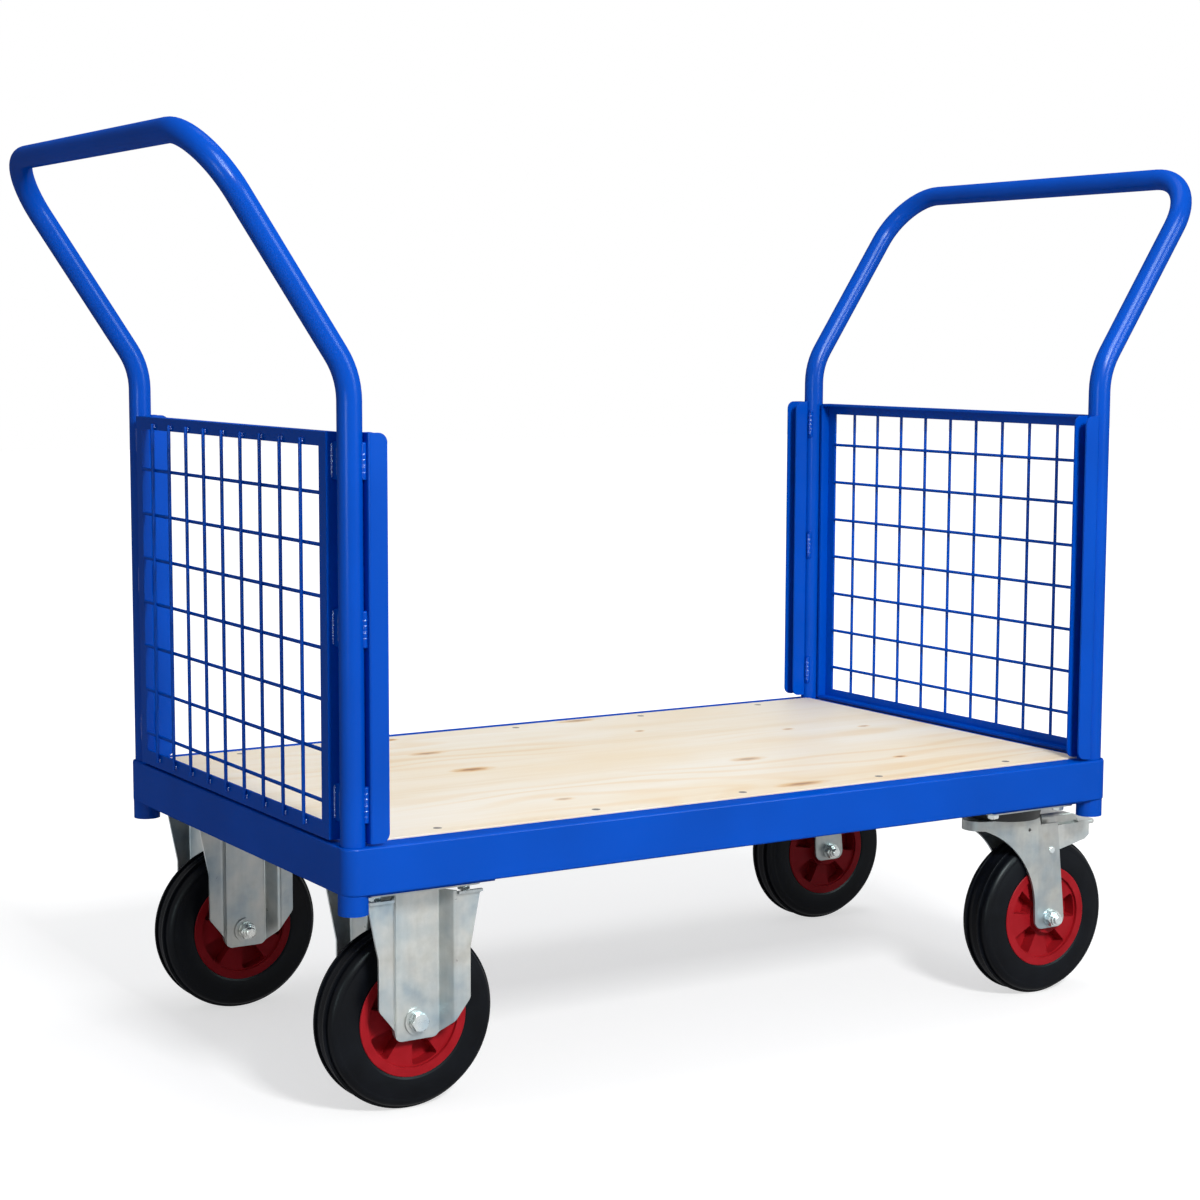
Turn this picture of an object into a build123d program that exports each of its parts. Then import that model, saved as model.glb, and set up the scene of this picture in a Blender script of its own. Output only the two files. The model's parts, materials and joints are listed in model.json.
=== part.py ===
from build123d import *

import math
import os

# Flatbed platform truck with two lift-out mesh ends, in millimetres.
# +X runs along the deck, +Y across it and +Z up; the origin is on the floor under the deck's middle.
# The two fixed castors stand under the -X end and the two braked swivel castors under the +X end.

# ---- wheels ----
wheel_radius = 100.0
tyre_width = 50.0
tyre_shoulder = 9.0
tyre_seat_radius = 63.0
tread_rib_height = 1.2
tread_rib_width = 3.0
tread_rib_offset = 11.0
tread_crown_drop = 2.5
tyre_bead_inset = 1.5
tyre_bead_rise = 2.5
tyre_bead_drop = 0.6
shoulder_rise_share = 0.25
shoulder_drop_share = 0.42
wheel_rim_width = 49.0
wheel_rim_band = 10.0
wheel_web = 8.0
spoke_count = 5
spoke_angle = 36.0
spoke_recess = 4.0
pocket_corner = 3.0
pocket_margin = 1.5
hub_collar = 2.0
edge_ease = 1.0
hub_radius = 21.0
hub_length = 58.0
bush_radius = 12.0
bush_overhang = 0.5
fixed_wheel_turn = 36.0
swivel_wheel_turn = 45.0

# ---- castors ----
castor_height = 249.5
fixed_castor_inset = 103.5
swivel_castor_inset = 99.0
castor_side_inset = 80.0
castor_trail = 50.0
sheet = 3.0
fork_gap = 60.0
plate_length = 135.0
plate_width = 110.0
plate_thickness = 5.0
plate_corner = 9.0
bolt_pitch_x = 105.0
bolt_pitch_y = 80.0
mount_bolt = 8.0
mount_bolt_end = 1.5
axle_bolt = 12.0
axle_thread_end = 4.0
washer_thickness = 2.0
washer_margin = 4.5
hexagon_ease = 0.12

# usual shares of a bolt's diameter
mount_head_across = 1.625
mount_head_height = 0.65
mount_nut_height = 0.8
axle_head_across = 1.5
axle_head_height = 0.625
axle_nut_height = 0.7
axle_collar_radius = 0.68
axle_collar_height = 0.3

# fixed fork: a pressed panel with wings that stand further out
panel_half = 27.0
wing_step = 19.0
wing_root = 38.0
wing_half = 54.0
wing_top_half = 66.5
wing_top = 240.0
wing_flare_height = 176.0
wing_corner_height = 122.0
wing_chamfer_x = 42.0
wing_chamfer_height = 107.0
panel_foot_half = 22.0
fixed_foot_drop = 20.0
foot_corner = 8.5
wing_bend = 2.0
wing_lip = 5.0
fork_bend = 4.0
axle_stop_radius = 15.0
axle_stop_height = 2.2

# swivel fork
crown_top = 229.0
crown_front = -46.0
crown_nose_half = 15.0
fork_fold = 30.0
fork_front_half = 20.0
leg_half = 23.0
leg_top = 220.0
leg_top_rear = 60.0
leg_foot_drop = 13.0
leg_foot_corner = 11.0
sweep_start_height = 217.0
sweep_middle_x = 1.0
sweep_middle_height = 184.0
sweep_end_height = 118.0
race_radius = 44.0
race_flare = 2.5
race_bore = 24.0
kingpin_radius = 7.0
kingpin_head_radius = 13.0
kingpin_head = 4.0
kingpin_nut_radius = 12.0
kingpin_nut = 6.0
pad_kingpin_hole = 16.0

fold_hole_radius = 2.0
fold_hole_x = 16.0
fold_hole_height = 214.4

# brake: two riveted cheeks joined by a pressed pedal with a hump and a flat nose, and a shoe over the tyre
brake_pivot_x = 51.0
brake_pivot_height = 186.0
rivet_radius = 3.0
rivet_head_radius = 4.5
rivet_head = 1.5
cheek_thickness = 2.5
cheek_side_gap = 1.5
cheek_front = 42.0
cheek_front_low = 178.0
cheek_front_flat = 58.0
cheek_knee_x = 67.0
cheek_knee_height = 183.8
cheek_heel_x = 109.5
cheek_heel_height = 193.0
cheek_rear = 116.5
cheek_rear_low = 198.0
cheek_corner = 2.5
bridge_front = 60.0
bridge_top = 215.0
bridge_sheet = 3.0
hump_half = 21.0
hump_front = 44.0
hump_top = 229.0
hump_crest = 80.0
hump_rear = 108.0
hump_corner = 5.0
nose_start = 100.0
nose_end = 130.0
nose_half = 27.0
nose_thickness = 6.0
nose_corner = 7.0
nose_notch = 7.0
shoe_x = 92.0
shoe_length = 12.0
shoe_gap = 5.5

# ---- deck ----
rim_length = 1040.0
rim_width = 616.0
rim_bar = 25.0
rim_height = 50.0
rim_wall = 2.0
rim_corner = 16.0
rim_edge = 2.5
corner_stub = 36.0
pad_thickness = 4.0
pad_length = 150.0
pad_width = 136.0
board_thickness = 12.0
board_proud = 1.8
board_edge_gap = 0.6
board_edge_round = 0.8
member_width = 25.0
member_end_inset = 128.0
member_count = 5
member_wall = 2.0
deck_screw_radius = 2.4
deck_screw_head = 4.8
deck_screw_length = 22.0
deck_screw_edge = 21.0

# ---- lift-out ends ----
tube_diameter = 26.0
tube_wall = 2.0
leg_inset_x = 15.7
leg_inset_y = 17.5
socket_diameter = 31.5
socket_drop = 21.0
socket_stop = 3.0
socket_drain = 8.0
handle_straight = 478.2
handle_rise = 238.9
handle_lean = 33.5
handle_bend_radius = 85.0
handle_corner_radius = 75.0
mesh_gap = 1.2
left_mesh_height = 418.1
right_mesh_height = 420.5
right_mesh_shift = 7.0
mesh_face_inset = 1.1
angle_sheet = 3.0
angle_side_face = 17.4
angle_top_face = 14.6
left_bottom_face = 17.4
right_bottom_face = 12.8
angle_depth = 15.0
side_rail_gap = 12.0
wire_diameter = 4.0
wire_lap = 7.5
wire_columns = 9
wire_side_gap = 40.34
left_column_shift = 0.16
right_column_shift = 1.46
wire_rows = 7
wire_row_pitch = 52.96
left_row_rise = 38.1
right_row_rise = 45.0
channel_width = 21.8
channel_depth = 21.2
channel_wall = 2.2
channel_shift = 5.2
channel_corner = 10.0
channel_round = 3.0
right_back_channel_rise = 3.0
low_weld_rise = 39.5
middle_weld_rise = 219.5
high_weld_drop = 28.6
weld_length = 38.0
weld_bead = 3.4
weld_spread = 0.62
lug_thickness = 5.0

# ---- clearances ----
turn_gap = 0.4
lift_gap = 0.75
seat_gap = 0.05
hole_gap = 0.5
face_gap = 0.6

# ---- derived places ----
fixed_castor_x = fixed_castor_inset - rim_length / 2
swivel_castor_x = rim_length / 2 - swivel_castor_inset
castor_y = rim_width / 2 - castor_side_inset
deck_screw_y = rim_width / 2 - rim_bar - deck_screw_edge
plate_top = castor_height
plate_bottom = plate_top - plate_thickness
rim_bottom = castor_height + pad_thickness
rim_top = rim_bottom + rim_height
board_top = rim_top + board_proud
board_bottom = board_top - board_thickness
tube_radius = tube_diameter / 2
socket_radius = socket_diameter / 2
socket_bore = tube_radius + lift_gap
socket_bottom = rim_bottom - socket_drop
leg_bottom = socket_bottom + socket_stop
leg_x = rim_length / 2 - leg_inset_x
leg_y = rim_width / 2 - leg_inset_y
fork_outer = fork_gap / 2 + sheet
fold_tan = (fork_outer - fork_front_half) / (fork_fold - crown_front)
mesh_face = rim_length / 2 - mesh_face_inset
side_rail_y = leg_y - tube_radius - side_rail_gap
window_half = side_rail_y - angle_side_face
wire_column_pitch = 2 * (window_half - wire_side_gap) / (wire_columns - 1)
handle_bend_height = rim_top + handle_straight
handle_top_height = handle_bend_height + handle_rise
mesh_bottom = board_top + mesh_gap
mesh_tops = {-1: mesh_bottom + left_mesh_height, 1: mesh_bottom + right_mesh_height}
mesh_shifts = {-1: 0.0, 1: right_mesh_shift}
bottom_faces = {-1: left_bottom_face, 1: right_bottom_face}
column_shifts = {-1: left_column_shift, 1: right_column_shift}
row_starts = {-1: mesh_bottom + left_row_rise, 1: mesh_bottom + right_row_rise}
axle_radius = axle_bolt / 2
member_pitch = (rim_length - 2 * member_end_inset) / (member_count - 1)

sides = (-1, 1)
corner_signs = [(sx, sy) for sx in sides for sy in sides]
row_names = {-1: "front", 1: "back"}
end_names = {-1: "left", 1: "right"}


def block(x0, x1, y0, y1, z0, z1):
    """A box between two corners, in any order."""
    centre = ((x0 + x1) / 2, (y0 + y1) / 2, (z0 + z1) / 2)
    return Pos(*centre) * Box(abs(x1 - x0), abs(y1 - y0), abs(z1 - z0))


def rod(radius, length, x=0.0, y=0.0, z=0.0):
    """An upright cylinder that starts at z."""
    return Pos(x, y, z) * Cylinder(radius, length, align=(Align.CENTER, Align.CENTER, Align.MIN))


def hexagon(across_flats, height, z=0.0):
    """An upright hexagonal prism that starts at z, with its corners eased as on a nut."""
    corner_radius = across_flats / math.sqrt(3)
    prism = Pos(0, 0, z) * extrude(RegularPolygon(corner_radius, 6), height)
    ease = corner_radius * hexagon_ease
    turned = rod(corner_radius, height, z=z)
    turned = chamfer(turned.edges(), ease)
    return prism & turned


def side_plate(outline, y0, y1):
    """A plate between y0 and y1 whose XZ outline is a closed face on the XZ plane."""
    plate = extrude(Plane.XZ * outline, -(y1 - y0))
    return Pos(0, y0, 0) * plate


def along_y(shape, flip=False):
    """Lay an upright shape down so that its +Z runs along +Y, or along -Y."""
    return Rot(X=90 if flip else -90) * shape


def save(name, pieces):
    """Write one node, with all its solids."""
    shapes = pieces if isinstance(pieces, list) else [pieces]
    solids = [solid for shape in shapes for solid in shape.solids()]
    shape = solids[0] if len(solids) == 1 else Compound(children=solids)
    shape.label = name
    export_step(shape, "parts/" + name + ".step")


# ---------------------------------------------------------------- deck and rim

def rim_ring():
    """The closed rim as one piece, before it is parted into bars and corners."""
    plan = RectangleRounded(rim_length, rim_width, rim_corner)
    plan -= Rectangle(rim_length - 2 * rim_bar, rim_width - 2 * rim_bar)
    ring = Pos(0, 0, rim_bottom) * extrude(plan, rim_height)
    flats = ring.faces().filter_by(Axis.Z)
    edges = [edge for face in flats for edge in face.outer_wire().edges()]
    return fillet(edges, rim_edge)


def long_bar(ring, sy):
    half = rim_length / 2 - corner_stub
    outer = rim_width / 2
    bar = ring & block(-half, half, sy * (outer - rim_bar), sy * outer, rim_bottom, rim_top)
    core = block(-half, half, sy * (outer - rim_bar + rim_wall), sy * (outer - rim_wall),
                 rim_bottom + rim_wall, rim_top - rim_wall)
    return bar - core


def short_bar(ring, sx):
    half = rim_width / 2 - corner_stub
    outer = rim_length / 2
    bar = ring & block(sx * (outer - rim_bar), sx * outer, -half, half, rim_bottom, rim_top)
    core = block(sx * (outer - rim_bar + rim_wall), sx * (outer - rim_wall), -half, half,
                 rim_bottom + rim_wall, rim_top - rim_wall)
    return bar - core


def corner_socket(ring, sx, sy):
    """The rim's corner with the upright socket that an end's leg drops into."""
    cut = block(sx * (rim_length / 2 - corner_stub), sx * rim_length / 2,
                sy * (rim_width / 2 - corner_stub), sy * rim_width / 2, rim_bottom, rim_top)
    corner = ring & cut
    x, y = sx * leg_x, sy * leg_y
    corner += rod(socket_radius, rim_top - socket_bottom, x, y, socket_bottom)
    corner -= rod(socket_bore, rim_top - leg_bottom, x, y, leg_bottom)
    corner -= rod(socket_drain, socket_stop, x, y, socket_bottom)
    return corner


def member_places():
    middle = (member_count - 1) / 2
    return [(i - middle) * member_pitch for i in range(member_count)]


def screw_places():
    return [(x, sy * deck_screw_y) for x in member_places() for sy in sides]


def deck_board():
    half_x = rim_length / 2 - rim_bar - board_edge_gap
    half_y = rim_width / 2 - rim_bar - board_edge_gap
    board = block(-half_x, half_x, -half_y, half_y, board_bottom, board_top)
    board = fillet(board.faces().sort_by(Axis.Z)[-1].edges(), board_edge_round)
    for sx, sy in corner_signs:
        board -= rod(socket_radius + board_edge_gap, board_thickness, sx * leg_x, sy * leg_y, board_bottom)
    for x, y in screw_places():
        board -= Pos(x, y, 0) * deck_screw(seat_gap)
    return board


def deck_screw(gap=0.0):
    """A countersunk screw whose head lies level with the board; gap widens it into its hole."""
    shank = deck_screw_radius + gap
    head = deck_screw_head + gap
    cone_height = head - shank
    screw = rod(shank, deck_screw_length, z=board_top - deck_screw_length)
    cone = Cone(shank, head, cone_height, align=(Align.CENTER, Align.CENTER, Align.MAX))
    return screw + Pos(0, 0, board_top) * cone


def cross_members():
    half_y = rim_width / 2 - rim_bar
    members = []
    for x in member_places():
        bar = block(x - member_width / 2, x + member_width / 2, -half_y, half_y, rim_bottom, board_bottom)
        core_half = member_width / 2 - member_wall
        bar -= block(x - core_half, x + core_half, -half_y, half_y,
                     rim_bottom + member_wall, board_bottom - member_wall)
        for screw_x, screw_y in screw_places():
            if screw_x == x:
                bar -= rod(deck_screw_radius + seat_gap, deck_screw_length, x, screw_y,
                           board_top - deck_screw_length)
        members.append(bar)
    return members


def bolt_places():
    return [(sx * bolt_pitch_x / 2, sy * bolt_pitch_y / 2) for sx, sy in corner_signs]


def mounting_pads():
    pads = []
    for sx, castor_x in ((-1, fixed_castor_x), (1, swivel_castor_x)):
        for sy in sides:
            pad = block(castor_x - pad_length / 2, castor_x + pad_length / 2,
                        sy * castor_y - pad_width / 2, sy * castor_y + pad_width / 2, plate_top, rim_bottom)
            for x, y in bolt_places():
                pad -= rod(mount_bolt / 2 + hole_gap, pad_thickness,
                           castor_x + x, sy * castor_y + y, plate_top)
            if sx > 0:
                pad -= rod(pad_kingpin_hole, pad_thickness, castor_x, sy * castor_y, plate_top)
            pad -= rod(socket_radius + board_edge_gap, pad_thickness, sx * leg_x, sy * leg_y, plate_top)
            pads.append(pad)
    return pads


def mounting_bolt():
    """A bolt through pad and plate: hexagon head above, nut and thread end below the plate."""
    across = mount_bolt * mount_head_across
    head = hexagon(across, mount_bolt * mount_head_height, rim_bottom)
    nut_height = mount_bolt * mount_nut_height
    nut = hexagon(across, nut_height, plate_bottom - nut_height)
    end = plate_bottom - nut_height - mount_bolt_end
    shank = rod(mount_bolt / 2, rim_bottom - end, z=end)
    shank = chamfer(shank.edges().sort_by(Axis.Z)[0], mount_bolt_end / 2)
    return head + nut + shank


def mounting_bolts():
    bolt = mounting_bolt()
    bolts = []
    for castor_x in (fixed_castor_x, swivel_castor_x):
        for sy in sides:
            for x, y in bolt_places():
                bolts.append(Pos(castor_x + x, sy * castor_y + y, 0) * bolt)
    return bolts


# ---------------------------------------------------------------- wheels, about the origin along Y

def tyre():
    """The tyre's section, turned about Y: sidewalls, round shoulders, low crown and two tread ribs."""
    half = tyre_width / 2
    crown = wheel_radius - tread_rib_height
    shoulder_radius = crown - tread_crown_drop
    seat = tyre_seat_radius + seat_gap
    bulge_radius = (seat + shoulder_radius - tyre_shoulder) / 2
    side_end = shoulder_radius - tyre_shoulder
    round_middle = shoulder_radius - tyre_shoulder * shoulder_rise_share
    round_depth = half - tyre_shoulder * shoulder_drop_share
    tread_half = half - tyre_shoulder - tyre_bead_inset
    side = [
        Line((seat, 0), (seat, half - tyre_bead_inset)),
        Line((seat, half - tyre_bead_inset), (seat + tyre_bead_rise, half - tyre_bead_drop)),
        ThreePointArc((seat + tyre_bead_rise, half - tyre_bead_drop), (bulge_radius, half),
                      (side_end, half - tyre_bead_inset)),
        ThreePointArc((side_end, half - tyre_bead_inset), (round_middle, round_depth),
                      (shoulder_radius, tread_half)),
        Line((shoulder_radius, tread_half), (crown, 0)),
    ]
    section = Wire(side).edges() + mirror(Wire(side), Plane.XZ).edges()
    body = revolve(make_face(Wire(section)), Axis.Y)
    for sign in sides:
        rib = Pos(0, sign * tread_rib_offset, 0) * along_y(
            Pos(0, 0, -tread_rib_width / 2) * rod(wheel_radius, tread_rib_width))
        rib = fillet(rib.edges(), tread_rib_height / 2)
        rib -= along_y(Pos(0, 0, -half) * rod(crown - 2 * tread_crown_drop, tyre_width))
        body += rib
    return body


def wheel_centre(turn):
    """Moulded centre: rim band, web, hub and solid spokes on both faces with pockets between."""
    outer = tyre_seat_radius
    inner = outer - wheel_rim_band
    half = wheel_rim_width / 2
    disc = along_y(Pos(0, 0, -half) * rod(outer, wheel_rim_width))
    disc = fillet(disc.edges(), edge_ease)
    face_depth = half - spoke_recess
    for sign in sides:
        recess = rod(inner, spoke_recess)
        recess = Pos(0, sign * (half - spoke_recess / 2), 0) * along_y(Pos(0, 0, -spoke_recess / 2) * recess)
        disc -= recess
        pocket_depth = face_depth - wheel_web / 2
        for i in range(spoke_count):
            angle = turn + (i + 0.5) * 360 / spoke_count
            middle = sign * (wheel_web / 2 + pocket_depth / 2)
            pocket = extrude(pocket_outline(inner - pocket_margin), pocket_depth / 2, both=True)
            disc -= Pos(0, middle, 0) * Rot(Y=-angle) * along_y(pocket)
    hub = along_y(Pos(0, 0, -hub_length / 2) * rod(hub_radius, hub_length))
    hub = chamfer(hub.edges(), edge_ease)
    disc += hub
    bore = along_y(Pos(0, 0, -hub_length / 2) * rod(bush_radius + seat_gap, hub_length))
    return disc - bore


def pocket_outline(reach):
    """A rounded sector between hub and rim band, centred on +X."""
    half_angle = math.radians(360 / spoke_count - spoke_angle) / 2
    start = hub_radius + hub_collar
    near = [(start * math.cos(a), start * math.sin(a)) for a in (-half_angle, 0, half_angle)]
    far = [(reach * math.cos(a), reach * math.sin(a)) for a in (-half_angle, 0, half_angle)]
    edges = [
        ThreePointArc(near[0], near[1], near[2]),
        Line(near[2], far[2]),
        ThreePointArc(far[2], far[1], far[0]),
        Line(far[0], near[0]),
    ]
    face = make_face(Wire(edges))
    return fillet(face.vertices(), pocket_corner)


def wheel_bush():
    half = hub_length / 2 + bush_overhang
    bush = rod(bush_radius, 2 * half, z=-half) - rod(axle_radius + turn_gap, 2 * half, z=-half)
    return along_y(bush)


def axle_head_end(radius):
    """The washer and hexagon head outside one leg, up from z = fork_outer."""
    washer = rod(radius + washer_margin, washer_thickness, z=fork_outer)
    head = hexagon(axle_bolt * axle_head_across, axle_bolt * axle_head_height, fork_outer + washer_thickness)
    return washer + head


def axle_bolt_piece(head_sign):
    """Axle bolt along Y with its head on the head_sign side and its thread end past the nut."""
    nut_side = fork_outer + washer_thickness + axle_bolt + axle_thread_end
    shank = rod(axle_radius, fork_outer + nut_side, z=-nut_side)
    shank = chamfer(shank.edges().sort_by(Axis.Z)[0], edge_ease)
    return along_y(shank + axle_head_end(axle_radius), flip=head_sign < 0)


def axle_nut_piece(head_sign):
    """Washer and locking nut on the side away from the head."""
    washer = rod(axle_radius + washer_margin, washer_thickness, z=fork_outer)
    height = axle_bolt * axle_nut_height
    nut = hexagon(axle_bolt * axle_head_across, height, fork_outer + washer_thickness)
    collar_height = axle_bolt * axle_collar_height
    collar = rod(axle_bolt * axle_collar_radius, collar_height, z=fork_outer + washer_thickness + height)
    collar = fillet(collar.edges().sort_by(Axis.Z)[-1], edge_ease)
    nut = washer + nut + collar
    nut -= rod(axle_radius + seat_gap, washer_thickness + height + collar_height, z=fork_outer)
    return along_y(nut, flip=head_sign > 0)


# ---------------------------------------------------------------- castor forks, about the kingpin

def castor_plate():
    plan = RectangleRounded(plate_length, plate_width, plate_corner)
    for x, y in bolt_places():
        plan -= Pos(x, y) * Circle(mount_bolt / 2 + hole_gap)
    plate = Pos(0, 0, plate_bottom) * extrude(plan, plate_thickness)
    return plate


def thick_line(points, thickness):
    """A bent strip in plan, with rounded bends: a polyline given its sheet thickness on the -Y side."""
    middle = offset_points(points, -thickness / 2)
    return trace(FilletPolyline(*middle, radius=fork_bend), thickness)


def offset_points(points, distance):
    """Points moved sideways by one distance, mitred where two runs meet."""
    moved = []
    for i, point in enumerate(points):
        before = points[max(i - 1, 0)]
        after = points[min(i + 1, len(points) - 1)]
        first = unit(before, point) if i > 0 else unit(point, after)
        second = unit(point, after) if i < len(points) - 1 else first
        normal = (-(first[1] + second[1]), first[0] + second[0])
        scale = 1 / (normal[0] * -first[1] + normal[1] * first[0])
        moved.append((point[0] + normal[0] * scale * distance, point[1] + normal[1] * scale * distance))
    return moved


def unit(a, b):
    length = math.hypot(b[0] - a[0], b[1] - a[1])
    return ((b[0] - a[0]) / length, (b[1] - a[1]) / length)


def fixed_leg():
    """The -Y leg of the fixed fork: middle panel, sloping steps and outer wings in one pressing."""
    inner = -fork_gap / 2
    outline_plan = [(-wing_top_half, inner - wing_step), (-wing_root, inner - wing_step),
                    (-panel_half, inner), (panel_half, inner),
                    (wing_root, inner - wing_step), (wing_top_half, inner - wing_step)]
    foot = wheel_radius - fixed_foot_drop
    plan = thick_line(outline_plan, sheet)
    pressing = Pos(0, 0, foot) * extrude(plan, plate_bottom - foot)
    right = [(panel_foot_half, foot), (wing_chamfer_x, wing_chamfer_height), (wing_half, wing_corner_height),
             (wing_half, wing_flare_height), (wing_top_half, wing_top), (panel_half + sheet, wing_top),
             (panel_half + sheet, plate_bottom)]
    left = [(-x, z) for x, z in reversed(right)]
    outline = make_face(Polyline(*right, *left, close=True))
    low = [v for v in outline.vertices() if v.Y < wing_flare_height + 1]
    outline = fillet(low, foot_corner)
    depth = fork_outer + wing_step
    leg = pressing & side_plate(outline, -depth, 0)
    for sx in sides:
        leg -= block(sx * wing_root, sx * wing_top_half, -depth, -depth + sheet,
                     wing_top - sheet - wing_bend, wing_top)
        leg += wing_rim(sx, depth)
    stop = rod(axle_stop_radius, axle_stop_height)
    stop -= rod(axle_radius + washer_margin + turn_gap, axle_stop_height)
    stop &= block(-axle_stop_radius, 0, -axle_stop_radius, axle_stop_radius, 0, axle_stop_height)
    leg += Pos(0, -fork_outer, wheel_radius) * along_y(stop, flip=True)
    hole = along_y(rod(axle_radius + seat_gap, 2 * depth), flip=True)
    return leg - Pos(0, 0, wheel_radius) * hole


def wing_rim(sx, depth):
    """The wing's top edge, rolled outward through a quarter turn into a short level lip."""
    bend_height = wing_top - sheet - wing_bend
    width = wing_top_half - wing_root
    roll = Cylinder(wing_bend + sheet, width) - Cylinder(wing_bend, width)
    roll = Pos(sx * (wing_root + wing_top_half) / 2, -depth - wing_bend, bend_height) * Rot(Y=90) * roll
    roll &= block(sx * wing_root, sx * wing_top_half, -depth - wing_bend, -depth + sheet,
                  bend_height, wing_top)
    return roll + block(sx * wing_root, sx * wing_top_half, -depth - wing_lip, -depth - wing_bend,
                        wing_top - sheet, wing_top)


def fixed_fork():
    leg = fixed_leg()
    return castor_plate() + leg + mirror(leg, Plane.XZ)


def swivel_wall():
    """The -Y side of the swivel fork: straight leg behind the fold, narrowing wall ahead of it."""
    inner = -fork_gap / 2
    rear = castor_trail + leg_half
    front_y = inner + fold_tan * (fork_fold - crown_front)
    plan = thick_line([(crown_front, front_y), (fork_fold, inner), (rear, inner)], sheet)
    foot = wheel_radius - leg_foot_drop
    wall = Pos(0, 0, foot) * extrude(plan, crown_top - foot)
    heel = castor_trail - leg_half
    edges = [
        Line((crown_front, crown_top), (fork_fold, crown_top)),
        Line((fork_fold, crown_top), (fork_fold + 2, leg_top)),
        Line((fork_fold + 2, leg_top), (leg_top_rear, leg_top)),
        Line((leg_top_rear, leg_top), (rear, wheel_radius)),
        Line((rear, wheel_radius), (rear, foot)),
        Line((rear, foot), (heel, foot)),
        Line((heel, foot), (heel - 1, sweep_end_height)),
        ThreePointArc((heel - 1, sweep_end_height), (sweep_middle_x, sweep_middle_height),
                      (crown_front, sweep_start_height)),
        Line((crown_front, sweep_start_height), (crown_front, crown_top)),
    ]
    outline = make_face(Wire(edges))
    foot_corners = [v for v in outline.vertices() if v.Y < foot + 1]
    outline = fillet(foot_corners, leg_foot_corner)
    wall = wall & side_plate(outline, -fork_outer - 1, 0)
    axle_hole = along_y(rod(axle_radius + seat_gap, 2 * fork_outer), flip=True)
    rivet_hole = along_y(rod(rivet_radius + seat_gap, 2 * fork_outer), flip=True)
    fold_hole = along_y(rod(fold_hole_radius, 2 * fork_outer), flip=True)
    wall -= Pos(castor_trail, 0, wheel_radius) * axle_hole
    wall -= Pos(brake_pivot_x, 0, brake_pivot_height) * rivet_hole
    wall -= Pos(fold_hole_x, 0, fold_hole_height) * fold_hole
    return wall


def swivel_fork():
    """Crown plate with a closed nose and two legs that trail behind the kingpin."""
    wall = swivel_wall()
    front = [(crown_front, -fork_front_half), (fork_fold, -fork_outer)]
    back = [(x, -y) for x, y in reversed(front)]
    crown_edges = [
        Line(front[0], front[1]),
        Line(front[1], back[0]),
        Line(back[0], back[1]),
        ThreePointArc(back[1], (crown_front - crown_nose_half, 0), front[0]),
    ]
    crown_face = make_face(Wire(crown_edges))
    crown = Pos(0, 0, crown_top - sheet) * extrude(crown_face, sheet)
    nose_face = crown_face - offset(crown_face, -sheet)
    nose = Pos(0, 0, sweep_start_height) * extrude(nose_face, crown_top - sweep_start_height)
    nose &= block(crown_front - crown_nose_half, crown_front, -fork_outer, fork_outer,
                  sweep_start_height, crown_top)
    fork = crown + nose + wall + mirror(wall, Plane.XZ)
    fork -= rod(kingpin_radius + turn_gap, sheet, z=crown_top - sheet)
    return fork


def swivel_race():
    """Dark bearing shroud between the top plate and the crown."""
    low = crown_top + face_gap
    ring = Pos(0, 0, low) * Cone(race_radius, race_radius + race_flare, plate_bottom - low,
                                 align=(Align.CENTER, Align.CENTER, Align.MIN))
    return ring - rod(race_bore, plate_bottom - low, z=low)


def kingpin():
    nut_top = crown_top - sheet - face_gap
    nut_low = nut_top - kingpin_nut
    pin = rod(kingpin_radius, plate_top - nut_low, z=nut_low)
    head = rod(kingpin_head_radius, kingpin_head, z=plate_top)
    head = chamfer(head.edges().sort_by(Axis.Z)[-1], 1.0)
    nut = hexagon(kingpin_nut_radius * math.sqrt(3), kingpin_nut, nut_low)
    return pin + head + nut


# ---------------------------------------------------------------- brake, about the kingpin

def brake_cheek():
    """The -Y cheek, inside the fork leg, with its hole for the rivet."""
    outer = fork_gap / 2 - cheek_side_gap
    points = [(cheek_front, bridge_top), (cheek_rear, bridge_top), (cheek_rear, cheek_rear_low),
              (cheek_heel_x, cheek_heel_height), (cheek_knee_x, cheek_knee_height),
              (cheek_front_flat, cheek_front_low), (cheek_front, cheek_front_low)]
    outline = make_face(Polyline(*points, close=True))
    outline = fillet(outline.vertices(), cheek_corner)
    cheek = side_plate(outline, -outer, -outer + cheek_thickness)
    hole = along_y(rod(rivet_radius + turn_gap, 2 * fork_outer), flip=True)
    return cheek - Pos(brake_pivot_x, 0, brake_pivot_height) * hole


def pedal_hump(inset):
    """The hump's outer form, or its hollow when inset is the sheet's thickness; open at the front."""
    half = hump_half - inset
    top = hump_top - inset
    rear = hump_rear - inset
    low = bridge_top - bridge_sheet
    start = hump_front
    edges = [
        Line((start, low), (start, top)),
        Line((start, top), (hump_crest, top)),
        RadiusArc((hump_crest, top), (rear, low), math.hypot(rear - hump_crest, top - low)),
        Line((rear, low), (start, low)),
    ]
    side = side_plate(make_face(Wire(edges)), -half, half)
    front = RectangleRounded(2 * half, 2 * (top - low), hump_corner - inset / 2)
    return side & Pos(0, 0, low) * extrude(Plane.YZ * front, 2 * rear)


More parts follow.
